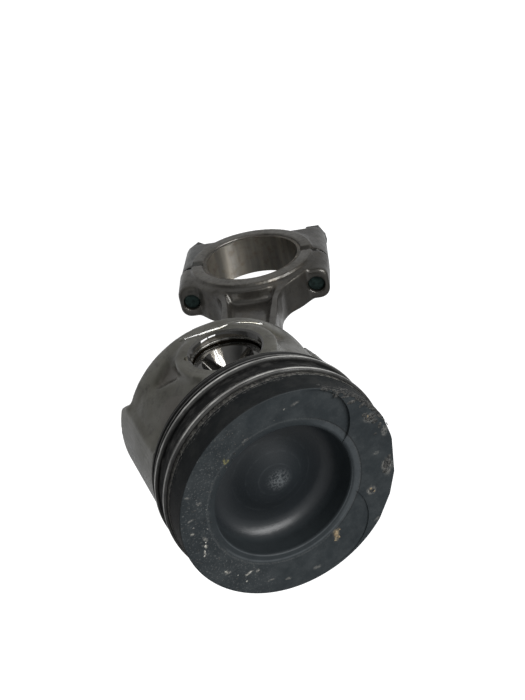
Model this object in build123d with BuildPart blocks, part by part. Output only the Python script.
from build123d import *
import os
from math import sin, cos, radians, degrees, sqrt
from typing import NamedTuple

# Piston and connecting rod of a light diesel engine.  Millimetres.
# Origin: centre of the gudgeon pin.  +Z runs up the piston axis to the crown, +Y (front)
# along the gudgeon pin.  The rod hangs from the pin, its big end swung towards +X.

SIDES = (-1, 1)
cut_size = 120                       # larger than the piston, for cutters that pass right through

# --- piston ---
crown_z = 47.9                       # compression height, pin centre to crown
skirt_r = 46.75                      # thrust faces of the skirt
land_r = 46.65                       # second and third lands
top_land_r = 46.5                    # smooth upper part of the top land
crown_edge = 0.35                    # edge break at the crown
wall_r = 44.3                        # recessed side wall beside the pin bosses
band_r = 44.8                        # low band under the recess
belt_bottom = 15.3                   # lower edge of the ring belt
band_top, band_bottom = -18.5, -25.3
skirt_bottom = -28.8
panel_half = 20.0                    # half width of a thrust face
blend_r = 4.0                        # hollow blend from recessed wall to thrust face
cavity_r = 41.0
inner_flat = 29.5                    # flat inner walls beside the bosses
boss_inner, boss_face = 13.3, 44.1   # inner and outer faces of the pin bosses
boss_r, boss_pad_r = 20.5, 21.3
boss_web_width = 36.0                # web joining each boss to the crown
pad_root = 37.0                      # where the boss pads start, inside the wall
mouth_chamfer = 0.7                  # at the mouth of each pin bore

facet_reach, facet_z, facet_lean = 42.45, 3.0, 0.10
facet_width, facet_height, facet_drop = 31, 37, 2.5
facet_clear_half = 21.8              # facets and scoops stay outside this distance in Y
scoop_angle, scoop_reach, scoop_depth = 53, 45.5, 4.4

# outer edges of the narrowed +X thrust face, bottom up: distance from the middle, z
narrow_face_edge = ((12.3, -30), (16.2, -15), (21.0, 2))
narrow_cut_half = 27                 # outer limit of the narrowing cut

# chips in the crown's edge: angle from +X, distance from the piston axis, lean
chips = ((14.0, 45.45, 0.42), (-3.0, 44.85, 0.40), (-18.0, 45.2, 0.45), (-30.5, 45.45, 0.40))

# --- rings ---
side_play = 0.06                     # axial play on each side of a ring
free_gap = 6.5                       # open end gap of a free ring
groove_cut_r = 50                    # grooves are cut out to here


class Ring(NamedTuple):
    z: float                         # middle of the ring
    height: float
    free_r: float                    # outer radius when free
    depth: float                     # radial thickness
    groove_r: float                  # root of its groove
    gap_at: float                    # angle from +X at which the ring starts, just past its gap

    @property
    def inner_r(self):
        return self.free_r - self.depth

    @property
    def groove_height(self):
        return self.height + 2 * side_play


TOP = Ring(crown_z - 14.45, 2.5, 48.0, 3.9, 42.4, gap_at=262)
SECOND = Ring(crown_z - 25.05, 2.05, 48.0, 3.9, 42.4, gap_at=18)
OIL = Ring(crown_z - 29.5, 3.0, 47.2, 3.0, 41.9, gap_at=300)
ring_arc = 360 - degrees(free_gap / TOP.free_r)
oil_slots = 18
spring_r, spring_wire_r = OIL.inner_r - 0.15, 0.82

carrier_inner_r, carrier_half = 40.4, 3.4

# --- oil passages in the piston ---
drain_angles = (-24, 0, 24, 156, 180, 204)
drain_r, drain_start, drain_length = 1.2, 22, 24
gallery_r, gallery_z = 36.2, 28.6    # centre of the cooling gallery's section
gallery_width, gallery_height, gallery_corner = 4.8, 8.0, 2.3
port_xy, port_r, port_bottom, port_length = 25.6, 2.6, 4, 23

# --- combustion bowl ---
bowl_x, bowl_y = -2.45, 2.05         # bowl axis, offset from the piston axis
bowl_lip_r = 28.85
bowl_depth = 15.5
bowl_corner = 7.0                    # radius of the bowl's lower corner
bowl_apex = 9.0                      # depth of the central cone's tip
lip_dish_r = 32.8                    # shallow dish round the lip
# valve pockets: x, y, radius, depth at the +X edge, slope down towards +X
valve_pockets = ((11.0, 25.5, 17.9, 1.3, 0.055), (10.5, -23.0, 20.0, 0.5, 0.022))

# --- pin, bushes, circlips ---
pin_r, pin_half, pin_hollow_r = 15.0, 38.8, 6.6
pin_mouth_r, pin_mouth_depth = 10.9, 6.9  # tapered mouths of the hollow
pin_bore_r = pin_r + 0.03            # with radial running clearance
bush_r = 16.3
bush_inset = 0.3                     # bush end from the boss's inner face
clip_y, clip_wire_r, clip_r = 39.85, 0.82, 15.45
clip_groove_end = 40.75
clip_arc = 300
bush_end = clip_y - clip_wire_r - 0.15
notch_x, notch_z, notch_r = 15.2, -3.2, 1.9  # for drawing the circlip out

# --- rod ---
rod_length = 152.0
rod_swing = 25.15                    # degrees towards +X
big_bore_r, big_half = 27.6, 12.0    # housing bore, half width at the thrust faces
big_chamfer, small_chamfer = 0.7, 0.6
thrust_r = 34.2                      # outer radius of the raised thrust faces
end_half = 10.0                      # half width of the big end outside them
rod_end_r, cap_end_r = 37.6, 36.6
shell_inner_r, shell_half = 25.8, 11.1
shell_joint_gap = 0.02               # each shell stops this far from the cap joint
small_end_r, small_half, small_bore_r = 21.5, 12.4, 17.0
bolt_offset = 34.4                   # bolt axes from the rod's centre line
bolt_places = ((bolt_offset, 0), (-bolt_offset, 0))
block_half = 42.2                    # outer wall of the bolt bosses
shoulder_height = 23.0               # bolt shoulders above the cap joint
seat_depth = 32.8                    # bolt head seats below the cap joint
bolt_r, rod_hole_r, cap_hole_r = 4.5, 4.56, 4.9
bolt_tip_gap = 2.0                   # bolt tip below the shoulders
flange_r, flange_height, head_r, head_height = 7.7, 2.2, 7.2, 5.2
sleeve_inner_r, sleeve_r, sleeve_half = 4.65, 5.6, 5.0
sleeve_end_gap = 0.1
fit_gap = 0.01                       # radial gap at shells, sleeves and small-end bush
oil_hole_r = 2.0
beam_half, web_half = 9.2, 3.2       # half thickness of the I-beam's flanges and web
joint_bevel, bevel_cut_depth = 1.0, 3.2

# right edge of the beam: half width, height above the cap joint
lower_flare = [(31.0, 22.0), (25.8, 28.4), (19.9, 34.4), (16.8, 39.5), (15.1, 46.5), (14.8, 56.0)]
upper_flare = [(12.9, 116.0), (15.5, 136.0), (17.5, 148.0)]

# the I-beam's hollows: half widths at the foot, 46, 58 and 112 above the joint,
# then the radii of the end arcs about the big-end and small-end centres
hollow_halves = (12.2, 10.4, 9.6, 7.4)
hollow_foot_r, hollow_top_r = 38.8, 24.8
# each hollow is three nested cuts, wider outwards: start from the mid plane, widening
hollow_steps = ((web_half, 0.0), (web_half + 2.0, 0.7), (web_half + 4.2, 1.2))

swing = radians(rod_swing)
across = Vector(cos(swing), 0, sin(swing))
along = Vector(-sin(swing), 0, cos(swing))    # big end to small end
big_end = along * (-rod_length)
rod_axis = Axis(big_end, along)


def outline_plane(y=0.0):
    """The rod's outline plane: local x across the rod, local y along it, normal -Y."""
    return Plane(origin=big_end + Vector(0, y, 0), x_dir=across, z_dir=(0, -1, 0))


def cross_plane(height, up=True):
    """Square to the rod at a height above the cap joint, local x across the rod."""
    return Plane(origin=big_end + along * height, x_dir=across, z_dir=along if up else -along)


def leaning_plane(outward, reach, z, lean=0.0):
    """Faces outward from the piston axis and leans up; local x level, local y upwards."""
    return Plane(origin=outward * reach + Vector(0, 0, z), x_dir=Vector(0, 0, 1).cross(outward),
                 z_dir=(outward + Vector(0, 0, lean)).normalized())


def section_plane(angle):
    """Radial plane at an angle from +X: local x outwards, local y = +Z."""
    turn = radians(angle)
    return Plane(origin=(0, 0, 0), x_dir=(cos(turn), sin(turn), 0),
                 z_dir=(sin(turn), -cos(turn), 0))


def mirrored(part, plane):
    with BuildPart() as copy:
        add(part)
        mirror(about=plane, mode=Mode.REPLACE)
    return copy.part


def mirrored_back(points):
    """The same edge on the other side of local x = 0, walked the other way."""
    return [(-x, y) for x, y in reversed(points)]


# ============================================================ piston cutters
def make_cavity():
    """The hollow under the crown, less the pin bosses and their webs."""
    with BuildPart() as cavity:
        with BuildSketch(Plane.XZ):
            with BuildLine():
                Polyline((0, -40), (0, 24.4), (12, 24.0))
                Spline((12, 24.0), (26, 19.6), (36.5, 9.5), (cavity_r, -3.0),
                       tangents=((1, -0.08), (0, -1)))
                Polyline((cavity_r, -3.0), (cavity_r + 0.5, -40), (0, -40))
            make_face()
        revolve(axis=Axis.Z)
        # flat inner walls behind the recesses
        for side in SIDES:
            with Locations((0, side * (inner_flat + 20), 0)):
                Box(100, 40, cut_size, mode=Mode.SUBTRACT)
        for side in SIDES:
            with BuildSketch(Plane.XZ.offset(-side * boss_inner)):
                Circle(boss_r)
                with Locations((0, 20)):
                    Rectangle(boss_web_width, 40)
            extrude(amount=-side * 50, mode=Mode.SUBTRACT)
    return cavity.part


def make_bowl():
    """The combustion bowl, turned about its own axis."""
    floor_z = crown_z - bowl_depth
    corner_x, corner_z = bowl_lip_r - bowl_corner, floor_z + bowl_corner
    corner_step = bowl_corner * cos(radians(45))
    lip_top = (bowl_lip_r + 1.3, crown_z - 0.75)
    lip_bottom = (bowl_lip_r, crown_z - 2.0)
    above = crown_z + 5
    with BuildPart() as bowl:
        with BuildSketch(Plane(origin=(bowl_x, bowl_y, 0), x_dir=(1, 0, 0), z_dir=(0, -1, 0))):
            with BuildLine():
                Polyline((0, above), (lip_dish_r, above), (lip_dish_r, crown_z), lip_top)
                ThreePointArc(lip_top, (bowl_lip_r + 0.36, crown_z - 1.16), lip_bottom)
                Line(lip_bottom, (bowl_lip_r, corner_z))
                ThreePointArc((bowl_lip_r, corner_z),
                              (corner_x + corner_step, corner_z - corner_step),
                              (corner_x, floor_z))
                Spline((corner_x, floor_z), (11.0, crown_z - 12.0), (0, crown_z - bowl_apex),
                       tangents=((-1, 0), (-1, 0.1)))
                Line((0, crown_z - bowl_apex), (0, above))
            make_face()
        revolve(axis=Axis((bowl_x, bowl_y, 0), (0, 0, 1)))
    return bowl.part


def make_facets():
    """Cast facets between bosses and skirt, and three-cornered scoops beside the pads."""
    with BuildPart() as facets:
        for side_x in SIDES:
            for side_y in SIDES:
                outward = Vector(side_x * sqrt(0.5), side_y * sqrt(0.5), 0)
                with BuildSketch(leaning_plane(outward, facet_reach, facet_z, facet_lean)):
                    with Locations((0, -facet_drop)):
                        Rectangle(facet_width, facet_height)
                extrude(amount=9)
                outward = Vector(side_x * cos(radians(scoop_angle)),
                                 side_y * sin(radians(scoop_angle)), 0)
                hand = side_x * side_y
                with BuildSketch(leaning_plane(outward, scoop_reach, 0)):
                    with BuildLine():
                        Polyline((hand * 8.2, -17.6), (-hand * 8.0, -12.2), (hand * 8.2, 1.5),
                                 (hand * 8.2, -17.6))
                    make_face()
                extrude(amount=-scoop_depth, taper=24)
        # they stay clear of the thrust faces and the belt
        Box(cut_size, 2 * facet_clear_half, cut_size, mode=Mode.SUBTRACT)
        with Locations((0, 0, belt_bottom + 20)):
            Box(cut_size, cut_size, 40, mode=Mode.SUBTRACT)
    return facets.part


def make_edge_chips():
    """Flat chips eroded from the crown's edge on the +X side, leaning in towards the crown."""
    with BuildPart() as edge_chips:
        for angle, reach, lean in chips:
            outward = Vector(cos(radians(angle)), sin(radians(angle)), 0)
            with BuildSketch(leaning_plane(outward, reach, crown_z, lean)):
                Rectangle(30, 14)
            extrude(amount=6)
    return edge_chips.part


def make_face_slopes():
    """Cuts that narrow the +X thrust face towards its bottom edge."""
    bottom, top = narrow_face_edge[0][1], narrow_face_edge[-1][1]
    with BuildPart() as face_slopes:
        for side in SIDES:
            edge = [(side * y, z) for y, z in narrow_face_edge]
            with BuildSketch(Plane.YZ.offset(30)):
                with BuildLine():
                    Polyline(*edge, (side * narrow_cut_half, top),
                             (side * narrow_cut_half, bottom), edge[0])
                make_face()
            extrude(amount=25)
        Cylinder(wall_r, cut_size, mode=Mode.SUBTRACT)
    return face_slopes.part


# ============================================================ piston
def make_piston():
    cavity = make_cavity()
    bowl = make_bowl()
    facets = make_facets()
    edge_chips = make_edge_chips()
    face_slopes = make_face_slopes()

    # the hollow blend circle touches the recessed wall and the thrust face's edge
    blend_y = panel_half + blend_r
    blend_centre = Vector(sqrt((wall_r + blend_r) ** 2 - blend_y ** 2), blend_y)
    blend_out = Vector(blend_centre.X, panel_half)
    blend_in = blend_centre * (wall_r / (wall_r + blend_r))
    towards_mid = ((blend_in - blend_centre).normalized()
                   + (blend_out - blend_centre).normalized()).normalized()
    blend_mid = blend_centre + towards_mid * blend_r

    belt_base = belt_bottom - 0.01   # slight overlap with the skirt
    carrier_top = TOP.z + carrier_half

    with BuildPart() as piston:
        # ring belt and crown
        with BuildSketch(Plane.XZ):
            with BuildLine():
                Polyline((0, belt_base), (land_r - 0.3, belt_base), (land_r, belt_bottom + 0.3),
                         (land_r, carrier_top + 0.2), (top_land_r, carrier_top + 0.4),
                         (top_land_r, crown_z - crown_edge), (top_land_r - crown_edge, crown_z),
                         (0, crown_z), (0, belt_base))
            make_face()
        revolve(axis=Axis.Z)
        # skirt: a recessed round wall with the two thrust faces standing proud of it
        with BuildSketch(Plane.XY.offset(belt_bottom)):
            Circle(skirt_r)
            Rectangle(cut_size, 2 * panel_half, mode=Mode.INTERSECT)
            Circle(wall_r)
            for side_x in SIDES:
                for side_y in SIDES:
                    start = (side_x * blend_in.X, side_y * blend_in.Y)
                    end = (side_x * blend_out.X, side_y * blend_out.Y)
                    with BuildLine():
                        ThreePointArc(start, (side_x * blend_mid.X, side_y * blend_mid.Y), end)
                        Polyline(end, (end[0], side_y * 18), (side_x * 30, side_y * 18), start)
                    make_face()
        extrude(amount=band_bottom - belt_bottom)
        # the thrust faces reach lower than the wall, a little narrower
        with BuildSketch(Plane.XY.offset(band_bottom)):
            Circle(skirt_r)
            Rectangle(cut_size, 2 * panel_half - 3, mode=Mode.INTERSECT)
        extrude(amount=skirt_bottom - band_bottom)
        add(facets, mode=Mode.SUBTRACT)
        add(face_slopes, mode=Mode.SUBTRACT)
        # low band round the bottom of the recess
        with BuildSketch(Plane.XY.offset(band_bottom)):
            Circle(band_r)
        extrude(amount=band_top - band_bottom)
        # flat machined pads round the pin bores, cut off at the ring belt
        for side in SIDES:
            with BuildSketch(Plane.XZ.offset(-side * pad_root)):
                Circle(boss_pad_r)
                with Locations((0, belt_bottom + 20)):
                    Rectangle(60, 40, mode=Mode.SUBTRACT)
            extrude(amount=-side * (boss_face - pad_root))
        add(cavity, mode=Mode.SUBTRACT)
        add(bowl, mode=Mode.SUBTRACT)
        add(edge_chips, mode=Mode.SUBTRACT)
        for x, y, radius, depth, slope in valve_pockets:
            with BuildSketch(Plane(origin=(x, y, crown_z - depth + radius * slope),
                                   x_dir=(1, 0, -slope), z_dir=(slope, 0, 1))):
                Circle(radius)
            extrude(amount=5, mode=Mode.SUBTRACT)
        # seat of the ring carrier, second groove, oil groove
        with BuildSketch(Plane.XZ):
            for root_r, z, height in ((carrier_inner_r, TOP.z, 2 * carrier_half),
                                      (SECOND.groove_r, SECOND.z, SECOND.groove_height),
                                      (OIL.groove_r, OIL.z, OIL.groove_height)):
                with Locations(((root_r + groove_cut_r) / 2, z)):
                    Rectangle(groove_cut_r - root_r, height)
        revolve(axis=Axis.Z, mode=Mode.SUBTRACT)
        # oil drain holes behind the oil ring, on the two thrust sides
        for angle in drain_angles:
            outward = (cos(radians(angle)), sin(radians(angle)), 0)
            with BuildSketch(Plane(origin=(0, 0, OIL.z), x_dir=(0, 0, 1),
                                   z_dir=outward).offset(drain_start)):
                Circle(drain_r)
            extrude(amount=drain_length, mode=Mode.SUBTRACT)
        # cooling gallery behind the ring belt, and its inlet and outlet
        with BuildSketch(Plane.XZ):
            with Locations((gallery_r, gallery_z)):
                RectangleRounded(gallery_width, gallery_height, gallery_corner)
        revolve(axis=Axis.Z, mode=Mode.SUBTRACT)
        with BuildSketch(Plane.XY.offset(port_bottom)):
            with Locations((port_xy, -port_xy), (-port_xy, port_xy)):
                Circle(port_r)
        extrude(amount=port_length, mode=Mode.SUBTRACT)
        # pin bores
        for side in SIDES:
            # bush seat, up to the end of the circlip groove
            with BuildSketch(Plane.XZ.offset(-side * (boss_inner - 1))):
                Circle(bush_r)
            extrude(amount=-side * (clip_groove_end - boss_inner + 1), mode=Mode.SUBTRACT)
            # narrower mouth outside the groove
            with BuildSketch(Plane.XZ.offset(-side * 38)):
                Circle(pin_bore_r)
            extrude(amount=-side * 10, mode=Mode.SUBTRACT)
            # mouth chamfer
            with BuildSketch(Plane.XZ.offset(-side * (boss_face + 1.0))):
                Circle(pin_bore_r + mouth_chamfer + 1.0)
            extrude(amount=side * 2.0, taper=45, mode=Mode.SUBTRACT)
            # circlip notch
            with BuildSketch(Plane.XZ.offset(-side * 39.0)):
                with Locations((-notch_x * side, notch_z)):
                    Circle(notch_r)
            extrude(amount=-side * 8, mode=Mode.SUBTRACT)
    return piston.part


def make_ring_carrier():
    """Iron insert cast into the piston, which holds the top ring's groove."""
    bottom, top = TOP.z - carrier_half, TOP.z + carrier_half
    proud_r = land_r + 0.15
    with BuildPart() as carrier:
        with BuildSketch(Plane.XZ):
            with BuildLine():
                Polyline((carrier_inner_r, bottom), (land_r, bottom), (proud_r, bottom + 0.2),
                         (proud_r, top - 0.1), (land_r + 0.05, top), (carrier_inner_r, top),
                         (carrier_inner_r, bottom))
            make_face()
            with Locations(((TOP.groove_r + groove_cut_r) / 2, TOP.z)):
                Rectangle(groove_cut_r - TOP.groove_r, TOP.groove_height, mode=Mode.SUBTRACT)
        revolve(axis=Axis.Z)
    return carrier.part


def make_front_bush():
    """Bush in the +Y pin boss."""
    start = boss_inner + bush_inset
    with BuildPart() as bush:
        with BuildSketch(Plane.XZ.offset(-start)):
            Circle(bush_r)
            Circle(pin_bore_r, mode=Mode.SUBTRACT)
        extrude(amount=-(bush_end - start))
    return bush.part


# ============================================================ rings
# Each ring is drawn free, sprung open a little past the bore, with its end gap.
def make_top_ring():
    """Compression ring with a slightly barrelled face."""
    outer, inner = TOP.free_r, TOP.inner_r
    bottom, top = TOP.z - TOP.height / 2, TOP.z + TOP.height / 2
    face_bottom, face_top = (outer - 0.06, bottom + 0.22), (outer - 0.06, top - 0.22)
    with BuildPart() as ring:
        with BuildSketch(section_plane(TOP.gap_at)):
            with BuildLine():
                Polyline((inner + 0.2, bottom), (outer - 0.3, bottom), face_bottom)
                ThreePointArc(face_bottom, (outer, TOP.z), face_top)
                Polyline(face_top, (outer - 0.3, top), (inner + 0.2, top), (inner, top - 0.2),
                         (inner, bottom + 0.2), (inner + 0.2, bottom))
            make_face()
        revolve(axis=Axis.Z, revolution_arc=ring_arc)
    return ring.part


def make_second_ring():
    """Taper-faced scraper with a hooked lower edge."""
    outer, inner = SECOND.free_r, SECOND.inner_r
    bottom, top = SECOND.z - SECOND.height / 2, SECOND.z + SECOND.height / 2
    hook_r, hook_z = outer - 0.75, bottom + 0.35
    with BuildPart() as ring:
        with BuildSketch(section_plane(SECOND.gap_at)):
            with BuildLine():
                Polyline((inner + 0.2, bottom), (hook_r, bottom), (hook_r, hook_z),
                         (outer, hook_z), (outer - 0.1, top - 0.2), (outer - 0.3, top),
                         (inner + 0.5, top), (inner, top - 0.5), (inner, bottom + 0.2),
                         (inner + 0.2, bottom))
            make_face()
        revolve(axis=Axis.Z, revolution_arc=ring_arc)
    return ring.part


def make_oil_ring():
    """Two scraping rails with slots between, and a round groove inside for the spring."""
    outer, inner, z = OIL.free_r, OIL.inner_r, OIL.z
    bottom, top = z - OIL.height / 2, z + OIL.height / 2
    waist_r = outer - 0.9
    groove_half = 0.88
    with BuildPart() as ring:
        with BuildSketch(section_plane(OIL.gap_at)):
            with BuildLine():
                Polyline((inner, z - groove_half), (inner, bottom), (outer - 0.25, bottom),
                         (outer, bottom + 0.3), (outer, z - 0.85), (waist_r, z - 0.6),
                         (waist_r, z + 0.6), (outer, z + 0.85), (outer, top - 0.3),
                         (outer - 0.25, top), (inner, top), (inner, z + groove_half))
                ThreePointArc((inner, z + groove_half), (inner + 0.74, z),
                              (inner, z - groove_half))
            make_face()
        revolve(axis=Axis.Z, revolution_arc=ring_arc)
        with Locations(Plane.XY.offset(z)):
            with PolarLocations(outer - 1.4, oil_slots, start_angle=OIL.gap_at + 10):
                Box(4, 5.5, 0.9, mode=Mode.SUBTRACT)
    return ring.part


def make_oil_ring_spring():
    with BuildPart() as spring:
        with BuildSketch(Plane.XZ):
            with Locations((spring_r, OIL.z)):
                Circle(spring_wire_r)
        revolve(axis=Axis.Z)
    return spring.part


# ============================================================ gudgeon pin
def make_gudgeon_pin():
    with BuildPart() as pin:
        with BuildSketch(Plane.YZ):
            with BuildLine():
                Polyline((-pin_half, pin_mouth_r), (-pin_half, pin_r - 0.9),
                         (-pin_half + 0.5, pin_r - 0.25), (-pin_half + 1.4, pin_r),
                         (pin_half - 1.4, pin_r), (pin_half - 0.5, pin_r - 0.25),
                         (pin_half, pin_r - 0.9), (pin_half, pin_mouth_r),
                         (pin_half - pin_mouth_depth, pin_hollow_r),
                         (-pin_half + pin_mouth_depth, pin_hollow_r), (-pin_half, pin_mouth_r))
            make_face()
        revolve(axis=Axis.Y)
    return pin.part


def make_front_circlip():
    """Round-wire circlip at the +Y end, open between the top and the -X side."""
    with BuildPart() as circlip:
        with BuildSketch(Plane.YZ):
            with Locations((clip_y, clip_r)):
                Circle(clip_wire_r)
        revolve(axis=Axis.Y, revolution_arc=clip_arc)
    return circlip.part


# ============================================================ rod
def make_rod_block():
    """The thick end block with the bolt bosses, rounded over at the shoulders."""
    with BuildPart() as block:
        with BuildSketch(cross_plane(0)):
            RectangleRounded(2 * block_half, 2 * end_half, 6.5)
        extrude(amount=shoulder_height, taper=2.2)
        fillet(block.faces().sort_by(rod_axis)[-1].edges(), radius=2.2)
    return block.part


def make_cap_block():
    """The cap's counterpart, rounded over at the bolt head seats."""
    with BuildPart() as block:
        with BuildSketch(cross_plane(0, up=False)):
            RectangleRounded(2 * block_half, 2 * end_half, 8.0)
        extrude(amount=seat_depth, taper=1.2)
        fillet(block.faces().sort_by(rod_axis)[0].edges(), radius=1.6)
    return block.part


def make_joint_bevel():
    """Cutter that bevels the rod's outer edges at the cap joint."""
    with BuildPart() as bevel:
        with BuildSketch(cross_plane(0)):
            Rectangle(cut_size, 60)
        extrude(amount=bevel_cut_depth)
        with BuildSketch(cross_plane(0)):
            RectangleRounded(2 * (block_half - joint_bevel), 2 * (end_half - joint_bevel), 5.6)
        extrude(amount=bevel_cut_depth, taper=-45, mode=Mode.SUBTRACT)
    return bevel.part


def make_connecting_rod(joint_bevel_cut):
    block = make_rod_block()
    with BuildPart() as rod:
        # beam, flaring out into both ends
        with BuildSketch(outline_plane(-beam_half)):
            with BuildLine():
                left_upper, left_lower = mirrored_back(upper_flare), mirrored_back(lower_flare)
                Spline(*lower_flare, tangents=((-0.68, 0.73), (-0.03, 1)))
                Line(lower_flare[-1], upper_flare[0])
                Spline(*upper_flare, tangents=((-0.03, 1), (0.3, 1)))
                Polyline(upper_flare[-1], left_upper[0])
                Spline(*left_upper, tangents=((0.3, -1), (0.03, -1)))
                Line(left_upper[-1], left_lower[0])
                Spline(*left_lower, tangents=((-0.03, -1), (-0.68, -0.73)))
                Polyline(left_lower[-1], (left_lower[-1][0], 0), (lower_flare[0][0], 0),
                         lower_flare[0])
            make_face()
        extrude(amount=-2 * beam_half)
        # big-end ring with its raised thrust faces, end block, small end
        for radius, half in ((rod_end_r, end_half), (thrust_r, big_half)):
            with BuildSketch(outline_plane()):
                Circle(radius)
            extrude(amount=half, both=True)
        add(block)
        with BuildSketch(Plane.XZ):
            Circle(small_end_r)
        extrude(amount=small_half, both=True)
        # the hollows of the I-beam on both faces
        for side in SIDES:
            for depth, widening in hollow_steps:
                foot, low, middle, top = [half + widening for half in hollow_halves]
                foot_r = hollow_foot_r - 0.9 * widening
                top_r = hollow_top_r - widening
                right = [(foot, sqrt(foot_r ** 2 - foot ** 2)), (low, 46.0), (middle, 58.0),
                         (top, 112.0), (top, rod_length - sqrt(top_r ** 2 - top ** 2))]
                left = mirrored_back(right)
                with BuildSketch(outline_plane(side * depth)):
                    with BuildLine():
                        Polyline(*right)
                        ThreePointArc(right[-1], (0, rod_length - top_r), left[0])
                        Polyline(*left)
                        ThreePointArc(left[-1], (0, foot_r), right[0])
                    make_face()
                extrude(amount=-side * 8, mode=Mode.SUBTRACT)
        # bores and their chamfers
        with BuildSketch(outline_plane()):
            Circle(big_bore_r)
        extrude(amount=20, both=True, mode=Mode.SUBTRACT)
        for side in SIDES:
            with BuildSketch(outline_plane(side * (big_half + 1))):
                Circle(big_bore_r + big_chamfer + 1)
            extrude(amount=side * 3, taper=45, mode=Mode.SUBTRACT)
            with BuildSketch(Plane.XZ.offset(-side * (small_half + 1))):
                Circle(small_bore_r + small_chamfer + 1)
            extrude(amount=side * 3, taper=45, mode=Mode.SUBTRACT)
        with BuildSketch(Plane.XZ):
            Circle(small_bore_r)
        extrude(amount=20, both=True, mode=Mode.SUBTRACT)
        # bolt holes, then sleeve seats
        for radius, depth in ((rod_hole_r, shoulder_height + 5),
                              (sleeve_r + fit_gap, sleeve_half + sleeve_end_gap + 1)):
            with BuildSketch(cross_plane(-1)):
                with Locations(*bolt_places):
                    Circle(radius)
            extrude(amount=depth, mode=Mode.SUBTRACT)
        # oil hole over the small end
        with BuildSketch(cross_plane(rod_length + 10)):
            Circle(oil_hole_r)
        extrude(amount=20, mode=Mode.SUBTRACT)
        split(bisect_by=cross_plane(0), keep=Keep.TOP)
        add(joint_bevel_cut, mode=Mode.SUBTRACT)
    return rod.part


def make_rod_cap(joint_bevel_cut):
    block = make_cap_block()
    with BuildPart() as cap:
        for radius, half in ((cap_end_r, end_half), (thrust_r, big_half)):
            with BuildSketch(outline_plane()):
                Circle(radius)
            extrude(amount=half, both=True)
        add(block)
        # bore and its chamfers
        with BuildSketch(outline_plane()):
            Circle(big_bore_r)
        extrude(amount=20, both=True, mode=Mode.SUBTRACT)
        for side in SIDES:
            with BuildSketch(outline_plane(side * (big_half + 1))):
                Circle(big_bore_r + big_chamfer + 1)
            extrude(amount=side * 3, taper=45, mode=Mode.SUBTRACT)
        # bolt holes, then sleeve seats
        for radius, depth in ((cap_hole_r, seat_depth + 5),
                              (sleeve_r + fit_gap, sleeve_half + sleeve_end_gap + 1)):
            with BuildSketch(cross_plane(1, up=False)):
                with Locations(*bolt_places):
                    Circle(radius)
            extrude(amount=depth, mode=Mode.SUBTRACT)
        split(bisect_by=cross_plane(0), keep=Keep.BOTTOM)
        add(joint_bevel_cut, mode=Mode.SUBTRACT)
    return cap.part


def make_bearing_shell(joint_height, kept_side):
    """Plain half ring, on one side of the cap joint."""
    with BuildPart() as shell:
        with BuildSketch(outline_plane()):
            Circle(big_bore_r - fit_gap)
            Circle(shell_inner_r, mode=Mode.SUBTRACT)
        extrude(amount=shell_half, both=True)
        split(bisect_by=cross_plane(joint_height), keep=kept_side)
    return shell.part


def make_small_end_bush():
    with BuildPart() as bush:
        with BuildSketch(Plane.XZ):
            Circle(small_bore_r - fit_gap)
            Circle(pin_bore_r, mode=Mode.SUBTRACT)
        extrude(amount=small_half, both=True)
        with BuildSketch(cross_plane(rod_length + 10)):
            Circle(oil_hole_r)
        extrude(amount=10, mode=Mode.SUBTRACT)
    return bush.part


def make_cap_bolt(place, head_turn):
    """Flanged hex head under the cap, tip just short of the shoulder."""
    with BuildPart() as bolt:
        with BuildSketch(cross_plane(-seat_depth)):
            with Locations((place, 0)):
                Circle(bolt_r)
        extrude(amount=seat_depth + shoulder_height - bolt_tip_gap)
        chamfer(bolt.faces().sort_by(rod_axis)[-1].edges(), 0.5)
        with BuildSketch(cross_plane(-seat_depth, up=False)):
            with Locations((place, 0)):
                Circle(flange_r)
        extrude(amount=flange_height, taper=8)
        with BuildSketch(cross_plane(-seat_depth - flange_height, up=False)):
            with Locations((place, 0)):
                RegularPolygon(head_r, 6, rotation=head_turn)
        extrude(amount=head_height)
    return bolt.part


def make_dowel_sleeve(place):
    """Hollow sleeve that lines the cap up with the rod."""
    with BuildPart() as sleeve:
        with BuildSketch(cross_plane(-sleeve_half)):
            with Locations((place, 0)):
                Circle(sleeve_r)
                Circle(sleeve_inner_r, mode=Mode.SUBTRACT)
        extrude(amount=2 * sleeve_half)
    return sleeve.part


# ============================================================ build and export
front_bush = make_front_bush()
front_circlip = make_front_circlip()
rod_bevel_cut = make_joint_bevel()
cap_bevel_cut = mirrored(rod_bevel_cut, cross_plane(0))

parts = {
    "piston": make_piston(),
    "ring_carrier": make_ring_carrier(),
    "pin_bore_bush_front": front_bush,
    "pin_bore_bush_rear": mirrored(front_bush, Plane.XZ),
    "top_ring": make_top_ring(),
    "second_ring": make_second_ring(),
    "oil_ring": make_oil_ring(),
    "oil_ring_spring": make_oil_ring_spring(),
    "gudgeon_pin": make_gudgeon_pin(),
    "circlip_front": front_circlip,
    "circlip_rear": mirrored(front_circlip, Plane.XZ),
    "connecting_rod": make_connecting_rod(rod_bevel_cut),
    "rod_cap": make_rod_cap(cap_bevel_cut),
    "upper_bearing_shell": make_bearing_shell(shell_joint_gap, Keep.TOP),
    "lower_bearing_shell": make_bearing_shell(-shell_joint_gap, Keep.BOTTOM),
    "small_end_bush": make_small_end_bush(),
    "cap_bolt_left": make_cap_bolt(-bolt_offset, head_turn=30),
    "cap_bolt_right": make_cap_bolt(bolt_offset, head_turn=0),
    "dowel_sleeve_left": make_dowel_sleeve(-bolt_offset),
    "dowel_sleeve_right": make_dowel_sleeve(bolt_offset),
}

os.makedirs("parts", exist_ok=True)
for name, part in parts.items():
    part.label = name
    export_step(part, f"parts/{name}.step")
